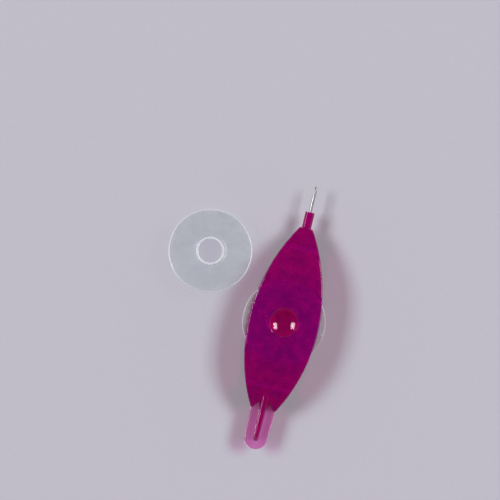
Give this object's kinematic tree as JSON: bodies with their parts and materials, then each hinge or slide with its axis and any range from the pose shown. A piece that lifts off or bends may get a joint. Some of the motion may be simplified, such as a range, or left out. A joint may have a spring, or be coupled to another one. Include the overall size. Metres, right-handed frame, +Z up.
{
  "type": "tatting shuttle",
  "caption": "Leaf-shaped tatting shuttle with bowed translucent blades round a clear bobbin, a steel crochet hook, a finned winding post, and a spare bobbin beside it.",
  "frame": {"origin": "on the flat belly of the lower blade, which the shuttle rests on, where the bobbin's axis meets that plane", "axes": "+Y along the shuttle from the winding post to the hook, +Z up and square to the blades, +X across the blades, away from the spare bobbin"},
  "size_m": [0.0493, 0.0774, 0.0106],
  "materials": {
    "blade_plastic": "polished translucent magenta with fine pearl sparkle",
    "hook_steel": "polished nickel-plated steel",
    "bobbin_plastic": "clear moulded plastic with a slightly frosted hub"
  },
  "bodies": {
    "shuttle": {"upper_blade": "blade_plastic", "lower_blade": "blade_plastic", "crochet_hook": "hook_steel"},
    "wound_bobbin": {"bobbin": "bobbin_plastic"},
    "loose_bobbin": {"spare_bobbin": "bobbin_plastic"}
  },
  "joints": [
    {"name": "bobbin_spin", "type": "hinge", "parent": "shuttle", "child": "wound_bobbin", "pos_m": [0, 0, 0.00528], "axis": [0, 0, 1], "continuous": true},
    {"name": "spare_lift", "type": "slide", "parent": "shuttle", "child": "loose_bobbin", "axis": [0, 0, 1], "range_m": [0, 0.03]}
  ]
}
